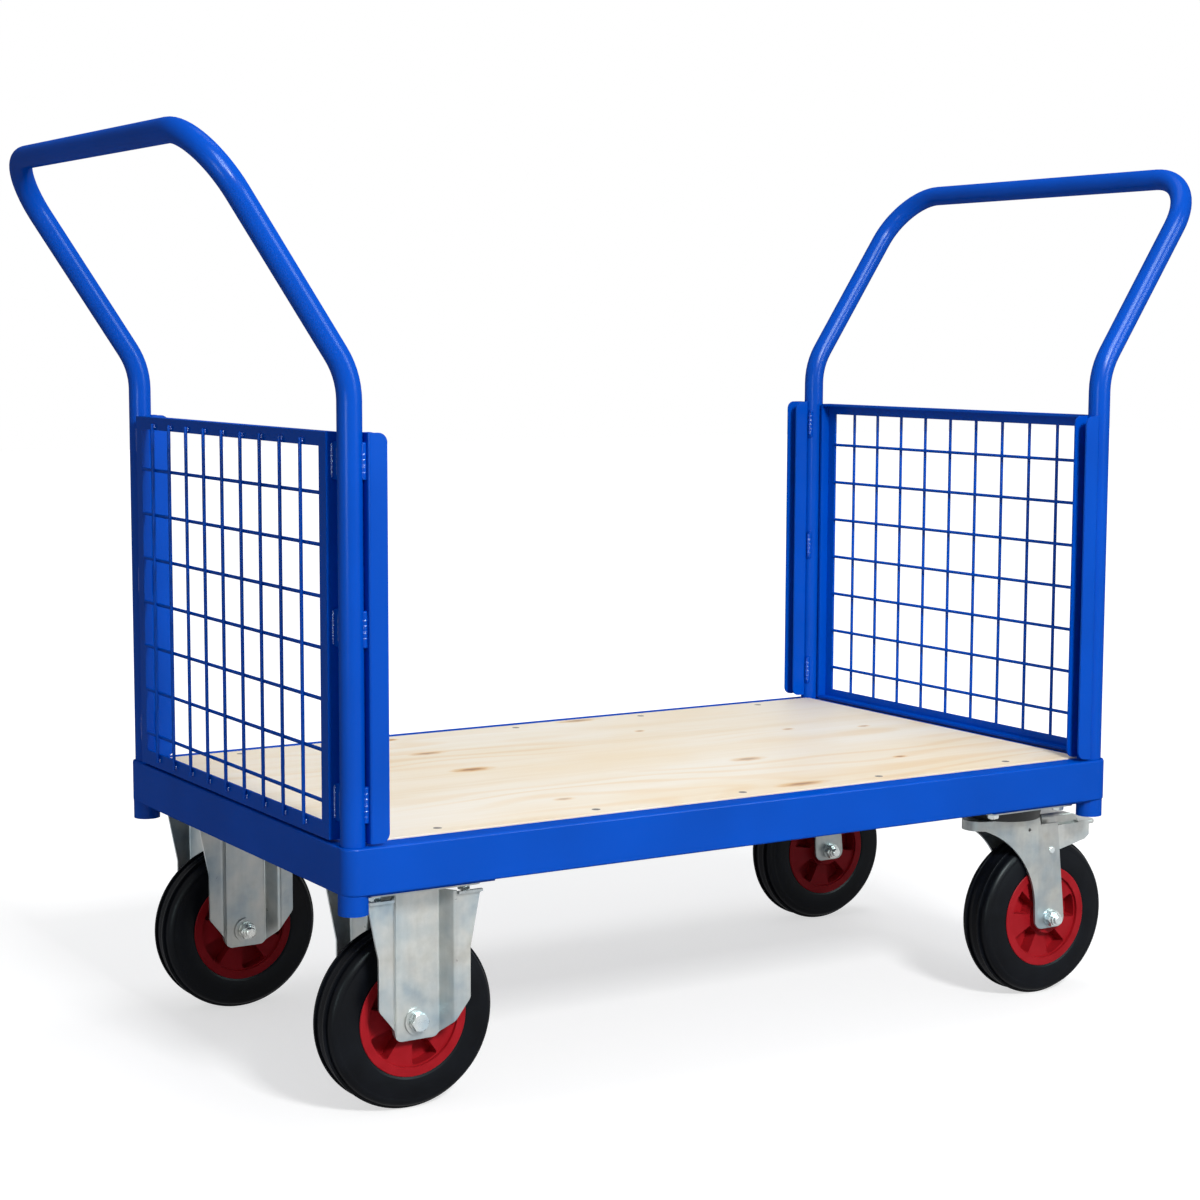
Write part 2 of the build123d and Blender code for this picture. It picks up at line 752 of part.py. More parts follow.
def brake_lever():
    """Cheeks inside the fork legs, joined by the pressed pedal with its hump and flat nose."""
    outer = fork_gap / 2 - cheek_side_gap
    cheek = brake_cheek()
    pedal = block(bridge_front, cheek_rear, -outer, outer, bridge_top - bridge_sheet, bridge_top)
    nose = RectangleRounded(2 * (nose_end - nose_start), 2 * nose_half, nose_corner)
    nose = Pos(nose_start, 0) * nose & Pos((nose_start + nose_end) / 2, 0) * Rectangle(
        nose_end - nose_start, 2 * nose_half)
    nose -= Pos(nose_end, 0) * Circle(nose_notch / 2)
    middle = bridge_top - bridge_sheet / 2
    slab = Pos(0, 0, middle - nose_thickness / 2) * extrude(nose, nose_thickness)
    ends = [e for e in slab.edges() if e.center().X > nose_end - nose_corner]
    ends = [e for e in ends if abs(e.bounding_box().size.Z) < 0.01]
    slab = fillet(ends, nose_thickness / 2 - 0.2)
    lever = cheek + mirror(cheek, Plane.XZ) + pedal + slab + pedal_hump(0.0)
    return lever - pedal_hump(bridge_sheet)


def brake_shoe():
    """Bar between the cheeks and under the pedal, held just clear of the tyre and curved to it."""
    half = fork_gap / 2 - cheek_side_gap - cheek_thickness
    shoe = block(shoe_x - shoe_length / 2, shoe_x + shoe_length / 2, -half, half,
                 wheel_radius, bridge_top - bridge_sheet)
    hollow = along_y(Pos(0, 0, -fork_gap) * rod(wheel_radius + shoe_gap, 2 * fork_gap))
    return shoe - Pos(castor_trail, 0, wheel_radius) * hollow


def brake_rivets():
    """Two short rivets, one through each leg and cheek, with domed heads outside."""
    start = fork_gap / 2 - cheek_side_gap - cheek_thickness
    rivet = rod(rivet_radius, fork_outer - start, z=start)
    head = rod(rivet_head_radius, rivet_head, z=fork_outer)
    rivet += fillet(head.edges().sort_by(Axis.Z)[-1], rivet_head * 0.8)
    place = Pos(brake_pivot_x, 0, brake_pivot_height)
    return [place * along_y(rivet), place * along_y(rivet, flip=True)]


# ---------------------------------------------------------------- lift-out ends

def handle_tube(sx):
    """One bent tube: two legs that lean outward above the mesh, and a top bar with round corners."""
    lean = math.radians(handle_lean)
    top_x = leg_x + (handle_top_height - handle_bend_height) * math.tan(lean)
    points = [(sx * leg_x, -leg_y, leg_bottom), (sx * leg_x, -leg_y, handle_bend_height),
              (sx * top_x, -leg_y, handle_top_height), (sx * top_x, leg_y, handle_top_height),
              (sx * leg_x, leg_y, handle_bend_height), (sx * leg_x, leg_y, leg_bottom)]
    radii = [handle_bend_radius, handle_corner_radius, handle_corner_radius, handle_bend_radius]
    path = rounded_path(points, radii)
    start = Plane(origin=points[0], z_dir=(0, 0, 1))
    tube = sweep(start * Circle(tube_radius), path=path)
    bore = sweep(start * Circle(tube_radius - tube_wall), path=path)
    hollow = tube - bore
    for y in (-leg_y, leg_y):
        hollow += rod(tube_radius - tube_wall / 2, tube_wall, sx * leg_x, y, leg_bottom)
    return hollow


def rounded_path(points, radii):
    """Straight runs joined by tangent arcs."""
    edges = []
    current = Vector(*points[0])
    for i, radius in enumerate(radii):
        corner = Vector(*points[i + 1])
        back = (Vector(*points[i]) - corner).normalized()
        ahead = (Vector(*points[i + 2]) - corner).normalized()
        turn = math.pi - math.acos(max(-1.0, min(1.0, back.dot(ahead))))
        reach = radius * math.tan(turn / 2)
        start = corner + back * reach
        end = corner + ahead * reach
        bisector = (back + ahead).normalized()
        middle = corner + bisector * (radius / math.cos(turn / 2) - radius)
        edges.append(Line(current, start))
        edges.append(ThreePointArc(start, middle, end))
        current = end
    edges.append(Line(current, Vector(*points[-1])))
    return Wire(edges)


def side_rails(sx):
    """Upright angle bars at the mesh's two sides."""
    rails = []
    for sy in sides:
        outer = sy * side_rail_y + mesh_shifts[sx]
        face = block(sx * (mesh_face - angle_sheet), sx * mesh_face, outer - sy * angle_side_face, outer,
                     mesh_bottom, mesh_tops[sx])
        web = block(sx * (mesh_face - angle_depth), sx * mesh_face, outer - sy * angle_sheet, outer,
                    mesh_bottom, mesh_tops[sx])
        rails.append(face + web)
    return rails


def end_rails(sx):
    """Level angle bars at the mesh's top and bottom, between the side rails."""
    web_half = side_rail_y - angle_sheet
    shift = mesh_shifts[sx]
    rails = []
    for edge, inward, height in ((mesh_tops[sx], -1, angle_top_face), (mesh_bottom, 1, bottom_faces[sx])):
        face = block(sx * (mesh_face - angle_sheet), sx * mesh_face, shift - window_half, shift + window_half,
                     edge, edge + inward * height)
        web = block(sx * (mesh_face - angle_depth), sx * (mesh_face - angle_sheet),
                    shift - web_half, shift + web_half, edge, edge + inward * angle_sheet)
        rails.append(face + web)
    return rails


def upright_wires(sx):
    wire_x = sx * (mesh_face + wire_diameter / 2)
    low = mesh_bottom + wire_lap
    length = mesh_tops[sx] - wire_lap - low
    first = mesh_shifts[sx] + column_shifts[sx] - wire_column_pitch * (wire_columns - 1) / 2
    return [rod(wire_diameter / 2, length, wire_x, first + i * wire_column_pitch, low)
            for i in range(wire_columns)]


def level_wires(sx):
    wire_x = sx * (mesh_face - wire_diameter / 2)
    wire = along_y(rod(wire_diameter / 2, 2 * window_half, z=-window_half))
    return [Pos(wire_x, mesh_shifts[sx], row_starts[sx] + i * wire_row_pitch) * wire
            for i in range(wire_rows)]


def guide_channels(sx):
    """Upright channels on the deck side of each leg, open toward the other end."""
    channels = []
    for sy in sides:
        near = leg_x - tube_radius - seat_gap
        centre = Pos(sx * (near - channel_depth / 2), sy * (leg_y + channel_shift))
        outer = Rectangle(channel_depth, channel_width)
        back = [v for v in outer.vertices() if v.X * sx > 0]
        outer = fillet(back, channel_round)
        slot = Pos(-sx * channel_wall, 0) * Rectangle(channel_depth, channel_width - 2 * channel_wall)
        low = mesh_bottom + (right_back_channel_rise if (sx, sy) == (1, 1) else 0)
        channel = Pos(0, 0, low) * extrude(centre * (outer - slot), mesh_tops[sx] - mesh_bottom)
        lips = [e for e in channel.edges().filter_by(Axis.Y)
                if abs(abs(e.center().X) - (near - channel_depth)) < seat_gap]
        channels.append(fillet(lips, channel_corner))
    return channels


def welds(sx):
    """Lugs from the side rails to the legs, and beads between each leg and its guide channel."""
    pieces = []
    heights = (mesh_bottom + low_weld_rise, mesh_bottom + middle_weld_rise, mesh_tops[sx] - high_weld_drop)
    wall_x = leg_x - tube_radius - seat_gap
    for sy in sides:
        rail_y = sy * side_rail_y + mesh_shifts[sx]
        for height in heights:
            low = height - weld_length / 2
            high = height + weld_length / 2
            leg = rod(tube_radius, high - low, sx * leg_x, sy * leg_y, low)
            lug_x = leg_x + lug_thickness / 2
            lug = block(sx * lug_x, sx * (lug_x + lug_thickness), rail_y, sy * leg_y, low, high)
            pieces.append(lug - leg)
            for offset_y in sides:
                bead_x = sx * (leg_x - tube_radius + weld_bead / 2)
                bead_y = sy * leg_y + offset_y * tube_radius * weld_spread
                bead = rod(weld_bead, high - low, bead_x, bead_y, low)
                bead = fillet(bead.edges(), weld_bead / 2)
                bead &= block(sx * wall_x, sx * leg_x, sy * leg_y - tube_diameter, sy * leg_y + tube_diameter,
                              low, high)
                pieces.append(bead - leg)
    return pieces


# ---------------------------------------------------------------- write every node

os.makedirs("parts", exist_ok=True)

ring = rim_ring()
for sy in sides:
    save("rim_" + row_names[sy], long_bar(ring, sy))
for sx in sides:
    save("rim_" + end_names[sx], short_bar(ring, sx))
save("corner_sockets", [corner_socket(ring, sx, sy) for sx, sy in corner_signs])
save("cross_members", cross_members())
save("mounting_pads", mounting_pads())
save("deck_board", deck_board())
save("deck_screws", [Pos(x, y, 0) * deck_screw() for x, y in screw_places()])
save("castor_mounting_bolts", mounting_bolts())

fixed = fixed_fork()
swivel = swivel_fork()
fixed_heads = {-1: -1, 1: 1}
swivel_heads = {-1: 1, 1: 1}
axle_fixed = [Pos(fixed_castor_x, sy * castor_y, wheel_radius) for sy in sides]
save("fixed_axle_bolts", [place * axle_bolt_piece(fixed_heads[sy]) for place, sy in zip(axle_fixed, sides)])
save("fixed_axle_nuts", [place * axle_nut_piece(fixed_heads[sy]) for place, sy in zip(axle_fixed, sides)])
save("kingpins", [Pos(swivel_castor_x, sy * castor_y, 0) * kingpin() for sy in sides])

swivel_top = castor_plate() - rod(kingpin_radius + seat_gap, plate_thickness, z=plate_bottom)
lever = brake_lever()
shoe = brake_shoe()
fixed_centre = wheel_centre(fixed_wheel_turn)
swivel_centre = wheel_centre(swivel_wheel_turn)
rubber = tyre()
bush = wheel_bush()
for sy in sides:
    row = row_names[sy]
    fixed_place = Pos(fixed_castor_x, sy * castor_y, 0)
    swivel_place = Pos(swivel_castor_x, sy * castor_y, 0)
    save("fixed_fork_" + row, fixed_place * fixed)
    save("swivel_plate_" + row, swivel_place * swivel_top)
    save("swivel_race_" + row, swivel_place * swivel_race())
    save("swivel_fork_" + row, swivel_place * swivel)
    save("brake_lever_" + row, swivel_place * lever)
    save("brake_shoe_" + row, swivel_place * shoe)
    save("brake_rivets_" + row, [swivel_place * rivet for rivet in brake_rivets()])
    fixed_axle = fixed_place * Pos(0, 0, wheel_radius)
    swivel_axle = swivel_place * Pos(castor_trail, 0, wheel_radius)
    save("swivel_axle_bolt_" + row, swivel_axle * axle_bolt_piece(swivel_heads[sy]))
    save("swivel_axle_nut_" + row, swivel_axle * axle_nut_piece(swivel_heads[sy]))
    for kind, place, centre in (("fixed", fixed_axle, fixed_centre), ("swivel", swivel_axle, swivel_centre)):
        save(kind + "_tyre_" + row, place * rubber)
        save(kind + "_wheel_centre_" + row, place * centre)
        save(kind + "_wheel_bush_" + row, place * bush)

for sx in sides:
    end = end_names[sx]
    save("handle_tube_" + end, handle_tube(sx))
    save("mesh_side_rails_" + end, side_rails(sx))
    save("mesh_end_rails_" + end, end_rails(sx))
    save("mesh_upright_wires_" + end, upright_wires(sx))
    save("mesh_level_wires_" + end, level_wires(sx))
    save("guide_channels_" + end, guide_channels(sx))
    save("end_welds_" + end, welds(sx))
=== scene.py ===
import json
import math

import bpy
from mathutils import Matrix, Vector


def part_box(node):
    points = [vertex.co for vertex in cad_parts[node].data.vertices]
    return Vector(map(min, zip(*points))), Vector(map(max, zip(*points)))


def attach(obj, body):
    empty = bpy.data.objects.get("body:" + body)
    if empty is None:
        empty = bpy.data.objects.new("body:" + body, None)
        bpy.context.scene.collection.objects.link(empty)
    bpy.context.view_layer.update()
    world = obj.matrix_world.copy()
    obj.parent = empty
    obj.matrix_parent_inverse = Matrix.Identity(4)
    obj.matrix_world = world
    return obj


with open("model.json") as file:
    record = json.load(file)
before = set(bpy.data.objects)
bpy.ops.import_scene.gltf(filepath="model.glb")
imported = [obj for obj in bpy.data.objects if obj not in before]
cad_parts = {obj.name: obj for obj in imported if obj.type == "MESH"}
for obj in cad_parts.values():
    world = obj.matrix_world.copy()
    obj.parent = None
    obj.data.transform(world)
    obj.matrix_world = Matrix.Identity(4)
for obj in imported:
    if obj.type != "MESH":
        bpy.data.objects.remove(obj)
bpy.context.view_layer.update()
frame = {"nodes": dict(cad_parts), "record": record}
nodes = frame["nodes"]

# ---------------------------------------------------------------- camera

# matched to the photo by the deck's edges, the uprights and the wheels; angles in degrees, lens in mm
CAMERA_PLACE = Vector((-1.54578, -2.46550, 0.82120))
CAMERA_YAW = 31.57
CAMERA_DIP = 6.29
CAMERA_ROLL = 0.19
CAMERA_LENS = 71.78
SENSOR_WIDTH = 36.0


def add_camera():
    """The camera looks along +Y turned by the yaw towards +X, and a little down."""
    yaw, dip, roll = (math.radians(angle) for angle in (CAMERA_YAW, CAMERA_DIP, CAMERA_ROLL))
    ahead = Vector((math.sin(yaw) * math.cos(dip), math.cos(yaw) * math.cos(dip), -math.sin(dip)))
    right = Vector((math.cos(yaw), -math.sin(yaw), 0.0))
    up = right.cross(ahead)
    rolled_right = right * math.cos(roll) + up * math.sin(roll)
    rolled_up = -right * math.sin(roll) + up * math.cos(roll)
    data = bpy.data.cameras.new("photo_camera")
    data.lens = CAMERA_LENS
    data.sensor_width = SENSOR_WIDTH
    data.clip_end = 50.0
    camera = bpy.data.objects.new("photo_camera", data)
    turn = Matrix((rolled_right, rolled_up, -ahead)).transposed().to_4x4()
    camera.matrix_world = Matrix.Translation(CAMERA_PLACE) @ turn
    bpy.context.scene.collection.objects.link(camera)
    bpy.context.scene.camera = camera


# ---------------------------------------------------------------- light and stage

WORLD_FILL = 0.36
FLOOR_SIZE = 14.0
FLOOR_BOUNCE = (0.30, 0.31, 0.33)
FLOOR_SHADE = (0.5, 0.5, 0.5)
# the floor's glow rises from GLOW_UNDER to 1 between these distances from the origin, in metres
GLOW_NEAR = 0.8
GLOW_FAR = 2.6
GLOW_UNDER = 0.62
PANEL_TONE = (0.78, 1.0, 1.0)


def only_seen(tree, shown, lit):
    """Mixes two shaders: one for camera, glossy and transmission rays, the other for the rest."""
    path = tree.nodes.new("ShaderNodeLightPath")
    seen = path.outputs["Is Camera Ray"]
    for name in ("Is Glossy Ray", "Is Transmission Ray"):
        either = tree.nodes.new("ShaderNodeMath")
        either.operation = "MAXIMUM"
        tree.links.new(seen, either.inputs[0])
        tree.links.new(path.outputs[name], either.inputs[1])
        seen = either.outputs[0]
    mix = tree.nodes.new("ShaderNodeMixShader")
    tree.links.new(seen, mix.inputs[0])
    tree.links.new(lit, mix.inputs[1])
    tree.links.new(shown, mix.inputs[2])
    return mix.outputs[0]


def set_world():
    """White where it is seen or mirrored, and a dimmer plain fill light elsewhere."""
    world = bpy.data.worlds.new("studio")
    bpy.context.scene.world = world
    world.use_nodes = True
    tree = world.node_tree
    shown = tree.nodes["Background"]
    shown.inputs["Color"].default_value = (1, 1, 1, 1)
    shown.inputs["Strength"].default_value = 1.0
    fill = tree.nodes.new("ShaderNodeBackground")
    fill.inputs["Color"].default_value = (0.95, 0.97, 1.0, 1)
    fill.inputs["Strength"].default_value = WORLD_FILL
    mixed = only_seen(tree, shown.outputs[0], fill.outputs[0])
    tree.links.new(mixed, tree.nodes["World Output"].inputs["Surface"])


def soft_lamp(name, place, target, size, power, tone=(1, 1, 1), only_gloss=False):
    """A square soft box that faces the target; with only_gloss it only shows in highlights."""
    data = bpy.data.lights.new(name, "AREA")
    data.shape = "SQUARE"
    data.size = size
    data.energy = power
    data.color = tone
    lamp = bpy.data.objects.new(name, data)
    aim = (Vector(target) - Vector(place)).to_track_quat("-Z", "Y")
    lamp.matrix_world = Matrix.Translation(place) @ aim.to_matrix().to_4x4()
    lamp.visible_diffuse = not only_gloss
    bpy.context.scene.collection.objects.link(lamp)


def add_floor():
    """A wide floor, white where it is seen, that keeps the soft shadow and bounces little light."""
    mesh = bpy.data.meshes.new("floor")
    corners = [(FLOOR_SIZE * x, FLOOR_SIZE * y, 0) for x, y in ((-1, -1), (1, -1), (1, 1), (-1, 1))]
    mesh.from_pydata(corners, [], [(0, 1, 2, 3)])
    floor = bpy.data.objects.new("floor", mesh)
    bpy.context.scene.collection.objects.link(floor)
    material = bpy.data.materials.new("floor_white")
    material.use_nodes = True
    tree = material.node_tree
    bounce = tree.nodes["Principled BSDF"]
    bounce.inputs["Base Color"].default_value = (*FLOOR_BOUNCE, 1)
    bounce.inputs["Roughness"].default_value = 0.9
    bounce.inputs["Specular IOR Level"].default_value = 0.0
    shade = tree.nodes.new("ShaderNodeBsdfDiffuse")
    shade.inputs["Color"].default_value = (*FLOOR_SHADE, 1)
    glow = tree.nodes.new("ShaderNodeEmission")
    place = tree.nodes.new("ShaderNodeTexCoord")
    away = tree.nodes.new("ShaderNodeVectorMath")
    away.operation = "LENGTH"
    tree.links.new(place.outputs["Object"], away.inputs[0])
    rise = tree.nodes.new("ShaderNodeMapRange")
    rise.inputs["From Min"].default_value = GLOW_NEAR
    rise.inputs["From Max"].default_value = GLOW_FAR
    rise.inputs["To Min"].default_value = GLOW_UNDER
    rise.inputs["To Max"].default_value = 1.0
    tree.links.new(away.outputs["Value"], rise.inputs["Value"])
    tree.links.new(rise.outputs["Result"], glow.inputs["Strength"])
    both = tree.nodes.new("ShaderNodeAddShader")
    tree.links.new(shade.outputs[0], both.inputs[0])
    tree.links.new(glow.outputs[0], both.inputs[1])
    mixed = only_seen(tree, both.outputs[0], bounce.outputs[0])
    tree.links.new(mixed, tree.nodes["Material Output"].inputs["Surface"])
    mesh.materials.append(material)


# ---------------------------------------------------------------- materials

class Shader:
    """One procedural material, with short ways to add and join its nodes."""

    def __init__(self, name, **settings):
        self.material = bpy.data.materials.new(name)
        self.material.use_nodes = True
        self.tree = self.material.node_tree
        self.surface = self.tree.nodes["Principled BSDF"]
        self.place = self.tree.nodes.new("ShaderNodeTexCoord").outputs["Object"]
        for socket, value in settings.items():
            self.set(socket, value)

    def set(self, socket, value):
        self.surface.inputs[socket.replace("_", " ")].default_value = value

    def join(self, output, target):
        self.tree.links.new(output, target)

    def feed(self, socket, output):
        self.join(output, self.surface.inputs[socket])

    def stretched(self, scale=(1, 1, 1), place=(0, 0, 0)):
        """Object coordinates, scaled and moved."""
        mapping = self.tree.nodes.new("ShaderNodeMapping")
        mapping.inputs["Scale"].default_value = scale
        mapping.inputs["Location"].default_value = place
        self.join(self.place, mapping.inputs["Vector"])
        return mapping.outputs[0]

    def noise(self, scale, detail=3.0, rough=0.5, place=None, distortion=0.0):
        node = self.tree.nodes.new("ShaderNodeTexNoise")
        node.inputs["Scale"].default_value = scale
        node.inputs["Detail"].default_value = detail
        node.inputs["Roughness"].default_value = rough
        node.inputs["Distortion"].default_value = distortion
        self.join(place or self.place, node.inputs["Vector"])
        return node.outputs["Fac"]

    def ramp(self, factor, *stops):
        node = self.tree.nodes.new("ShaderNodeValToRGB")
        self.join(factor, node.inputs["Fac"])
        elements = node.color_ramp.elements
        while len(elements) < len(stops):
            elements.new(0.5)
        for element, (position, color) in zip(elements, stops):
            element.position = position
            element.color = (*color, 1)
        return node.outputs["Color"]

    def span(self, factor, low, high, from_low=0.0, from_high=1.0):
        node = self.tree.nodes.new("ShaderNodeMapRange")
        node.inputs["From Min"].default_value = from_low
        node.inputs["From Max"].default_value = from_high
        node.inputs["To Min"].default_value = low
        node.inputs["To Max"].default_value = high
        self.join(factor, node.inputs["Value"])
        return node.outputs["Result"]

    def math(self, operation, first, second=0.0):
        node = self.tree.nodes.new("ShaderNodeMath")
        node.operation = operation
        for value, socket in ((first, node.inputs[0]), (second, node.inputs[1])):
            if isinstance(value, (int, float)):
                socket.default_value = value
            else:
                self.join(value, socket)
        return node.outputs[0]

    def blend(self, factor, first, second, mode):
        node = self.tree.nodes.new("ShaderNodeMix")
        node.data_type = "RGBA"
        node.blend_type = mode
        color_inputs = [socket for socket in node.inputs if socket.type == "RGBA"]
        self.join(first, color_inputs[0])
        self.join(second, color_inputs[1])
        if isinstance(factor, (int, float)):
            node.inputs["Factor"].default_value = factor
        else:
            self.join(factor, node.inputs["Factor"])
        return [socket for socket in node.outputs if socket.type == "RGBA"][0]

    def axis(self, name):
        node = self.tree.nodes.new("ShaderNodeSeparateXYZ")
        self.join(self.place, node.inputs[0])
        return node.outputs[name]

    def bump(self, height, strength, distance):
        node = self.tree.nodes.new("ShaderNodeBump")
        node.inputs["Strength"].default_value = strength
        node.inputs["Distance"].default_value = distance
        self.join(height, node.inputs["Height"])
        return node.outputs["Normal"]


def blue_paint(name="blue_paint", sheen=0.028):
    """Glossy powder coat: saturated blue under a thin sheen, faintly cloudy and rippled."""
    shader = Shader(name, Roughness=0.5, Specular_IOR_Level=0.0, Coat_Weight=sheen, Coat_IOR=3.0,
                    Coat_Roughness=0.23)
    clouds = shader.noise(7.0, detail=2.0)
    color = shader.ramp(clouds, (0.3, (0.0, 0.064, 0.44)), (0.7, (0.0, 0.077, 0.53)))
    shader.feed("Base Color", color)
    shader.feed("Normal", shader.bump(shader.noise(60.0, detail=2.0), 0.10, 0.0008))
    return shader.material


def zinc_plate(name, tint=1.0, rough=0.30, metal=0.55):
    """Bright zinc on pressed steel: blue and warm grey drift, mottling and fine rolling marks."""
    shader = Shader(name, Metallic=metal, Roughness=rough, Specular_IOR_Level=0.3)
    drift = shader.noise(16.0, detail=3.0, rough=0.6)
    base = shader.ramp(drift, (0.30, (0.34 * tint, 0.42 * tint, 0.47 * tint)),
                       (0.48, (0.50 * tint, 0.53 * tint, 0.53 * tint)),
                       (0.60, (0.58 * tint, 0.58 * tint, 0.55 * tint)),
                       (0.75, (0.50 * tint, 0.48 * tint, 0.43 * tint)))
    clouds = shader.noise(48.0, detail=5.0, rough=0.65)
    mottle = shader.ramp(clouds, (0.35, (0.62, 0.64, 0.66)), (0.62, (1, 1, 1)))
    base = shader.blend(0.35, base, mottle, "MULTIPLY")
    grain = shader.noise(160.0, detail=4.0, place=shader.stretched(scale=(1, 1, 0.15)))
    marks = shader.ramp(grain, (0.3, (0.75, 0.75, 0.75)), (0.7, (1, 1, 1)))
    color = shader.blend(0.35, base, marks, "MULTIPLY")
    shader.feed("Base Color", color)
    shader.feed("Roughness", shader.span(clouds, rough - 0.10, rough + 0.14))
    shader.feed("Normal", shader.bump(grain, 0.12, 0.0003))
    return shader.material


def red_plastic():
    """Satin moulded plastic, slightly darker and duller in patches."""
    shader = Shader("red_plastic", Roughness=0.38, Specular_IOR_Level=0.06)
    patch = shader.noise(30.0, detail=3.0)
    color = shader.ramp(patch, (0.3, (0.31, 0.008, 0.013)), (0.7, (0.39, 0.013, 0.020)))
    shader.feed("Base Color", color)
    shader.feed("Roughness", shader.span(shader.noise(90.0), 0.3, 0.48))
    shader.feed("Normal", shader.bump(shader.noise(500.0, detail=2.0), 0.08, 0.0003))
    return shader.material


def tyre_rubber():
    """Black rubber with a cool sheen, a faint bloom and fine texture."""
    shader = Shader("tyre_rubber", Roughness=0.4, Specular_IOR_Level=0.02, Coat_Weight=0.02,
                    Coat_IOR=3.0, Coat_Roughness=0.34)
    bloom = shader.ramp(shader.noise(18.0, detail=4.0), (0.35, (0.002, 0.0025, 0.004)),
                        (0.75, (0.006, 0.0075, 0.011)))
    shader.feed("Base Color", bloom)
    shader.feed("Roughness", shader.span(shader.noise(60.0, detail=3.0), 0.32, 0.52))
    shader.feed("Normal", shader.bump(shader.noise(700.0, detail=2.0), 0.15, 0.0003))
    return shader.material


def black_shroud():
    """Dull black of the swivel bearing's shroud."""
    shader = Shader("black_shroud", Roughness=0.5, Specular_IOR_Level=0.3)
    color = shader.ramp(shader.noise(60.0), (0.3, (0.008, 0.008, 0.008)), (0.7, (0.02, 0.02, 0.02)))
    shader.feed("Base Color", color)
    shader.feed("Normal", shader.bump(shader.noise(400.0), 0.1, 0.0003))
    return shader.material


def plywood():
    """Pale pine face veneer: fine grain along X, warm figure in patches, and dark oval knots."""
    shader = Shader("plywood", Roughness=0.5, Specular_IOR_Level=0.15)
    along = shader.stretched(scale=(1.1, 20.0, 1.0))
    bands = shader.noise(1.0, detail=5.0, rough=0.55, place=along, distortion=0.3)
    base = shader.ramp(bands, (0.28, (0.79, 0.68, 0.51)), (0.45, (0.84, 0.77, 0.65)),
                       (0.7, (0.86, 0.81, 0.72)))
    wide = shader.stretched(scale=(3.0, 6.0, 1.0), place=(0.4, 0.9, 0.0))
    clouds = shader.ramp(shader.noise(1.0, detail=3.0, place=wide), (0.42, (1, 1, 1)),
                         (0.7, (0.97, 0.87, 0.71)))
    base = shader.blend(0.7, base, clouds, "MULTIPLY")
    wander = shader.noise(1.0, detail=2.0, place=shader.stretched(scale=(1.6, 6.0, 1.0)))
    across = shader.math("MULTIPLY", shader.axis("Y"), 16.0)
    rings = shader.math("ADD", across, shader.math("MULTIPLY", wander, 8.0))
    wave = shader.math("SINE", shader.math("MULTIPLY", rings, 2 * math.pi))
    figure = shader.ramp(shader.span(wave, 0.0, 1.0, from_low=-1.0), (0.5, (1, 1, 1)),
                         (1.0, (0.93, 0.78, 0.58)))
    spots = shader.stretched(scale=(2.0, 5.5, 1.0), place=(0.7, 0.2, 0.0))
    patch = shader.span(shader.noise(1.0, detail=1.0, place=spots), 0.0, 0.5, from_low=0.48,
                        from_high=0.68)
    color = shader.blend(patch, base, figure, "MULTIPLY")
    thin = shader.stretched(scale=(12.0, 700.0, 1.0))
    fibres = shader.noise(1.0, detail=4.0, rough=0.7, place=thin)
    threads = shader.ramp(fibres, (0.35, (0.82, 0.76, 0.68)), (0.6, (1, 1, 1)))
    color = shader.blend(0.22, color, threads, "MULTIPLY")
    for x, y, length, width, strength in KNOTS:
        color = knot(shader, color, x, y, length, width, strength)
    shader.feed("Base Color", color)
    shader.feed("Roughness", shader.span(fibres, 0.42, 0.6))
    shader.feed("Normal", shader.bump(fibres, 0.12, 0.0004))
    return shader.material


# middle x and y, half length and half width in metres, and strength
KNOTS = (
    (-0.192, 0.146, 0.030, 0.011, 0.75),
    (-0.197, 0.021, 0.034, 0.014, 0.95),
    (0.129, -0.088, 0.030, 0.013, 0.70),
    (0.089, -0.255, 0.044, 0.013, 0.80),
    (0.100, 0.270, 0.040, 0.012, 0.75),
    (0.127, 0.156, 0.009, 0.006, 0.90),
    (0.305, 0.070, 0.011, 0.006, 0.80),
    (0.407, 0.039, 0.012, 0.006, 0.80),
    (0.302, -0.169, 0.013, 0.007, 0.85),
    (-0.196, -0.193, 0.016, 0.008, 0.60),
    (-0.187, 0.259, 0.014, 0.008, 1.00),
)


def knot(shader, color, x, y, length, width, strength):
    """An oval knot: a dark heart that fades out through brown rings, with a rippled edge."""
    local = shader.stretched(scale=(1 / length, 1 / width, 0.0), place=(-x / length, -y / width, 0))
    ripple = shader.noise(2.2, detail=3.0, place=local)
    reach = shader.tree.nodes.new("ShaderNodeVectorMath")
    reach.operation = "LENGTH"
    shader.join(local, reach.inputs[0])
    distance = shader.math("ADD", reach.outputs["Value"], shader.span(ripple, -0.35, 0.35))
    ring = shader.ramp(distance, (0.0, (0.30, 0.15, 0.07)), (0.30, (0.50, 0.28, 0.13)),
                       (0.5, (0.74, 0.50, 0.29)), (0.75, (0.93, 0.80, 0.62)), (1.0, (1, 1, 1)))
    return shader.blend(strength, color, ring, "MULTIPLY")


def screw_steel():
    """Dull dark steel of the deck screws."""
    shader = Shader("screw_steel", Metallic=0.8, Roughness=0.5)
    color = shader.ramp(shader.noise(80.0), (0.3, (0.10, 0.09, 0.08)), (0.7, (0.22, 0.20, 0.18)))
    shader.feed("Base Color", color)
    shader.feed("Normal", shader.bump(shader.noise(300.0), 0.2, 0.0003))
    return shader.material


def dress(table):
    """Gives each CAD node its material by the record's slots; swivel forks get a darker copy of the
    zinc as painted shade.
    """
    for part in frame["record"]["subparts"]:
        shade_painted_fork = part["node"].startswith("swivel_fork")
        material = FORK_ZINC_PAINTED_SHADE if shade_painted_fork else table[part["material_slot"]]
        shape = nodes[part["node"]]
        shape.data.materials.clear()
        shape.data.materials.append(material)


